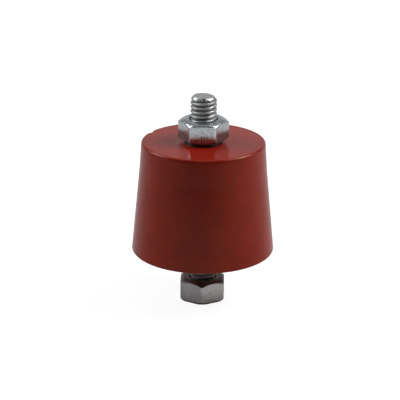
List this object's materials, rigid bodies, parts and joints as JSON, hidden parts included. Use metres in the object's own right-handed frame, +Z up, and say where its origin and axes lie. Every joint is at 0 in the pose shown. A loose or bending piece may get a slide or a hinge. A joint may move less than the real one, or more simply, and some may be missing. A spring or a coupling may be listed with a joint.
{
  "type": "standoff insulator",
  "caption": "Small red moulded truncated-cone standoff insulator with a threaded stud and hexagon nut at each end, which holds a live conductor off a mounting panel.",
  "frame": {"origin": "middle of the lower nut's bottom face, on the common axis, where the part stands", "axes": "+Z up along the common axis of body, inserts, studs and nuts, from the panel side to the conductor side; -Y faces the viewer of the picture"},
  "size_m": [0.032, 0.032, 0.048],
  "materials": {
    "red_moulding": "semi-gloss brick red filled thermoset moulding",
    "insert_steel": "dull grey plated steel, turned",
    "stud_zinc": "bright zinc plated steel, rolled thread",
    "nut_zinc": "blue-white zinc plated steel, cold formed, faintly mottled"
  },
  "bodies": {
    "root": {"insulator_body": "red_moulding", "upper_insert": "insert_steel", "lower_insert": "insert_steel", "upper_stud": "stud_zinc", "lower_stud": "stud_zinc", "upper_nut": "nut_zinc", "lower_nut": "nut_zinc"}
  },
  "joints": []
}
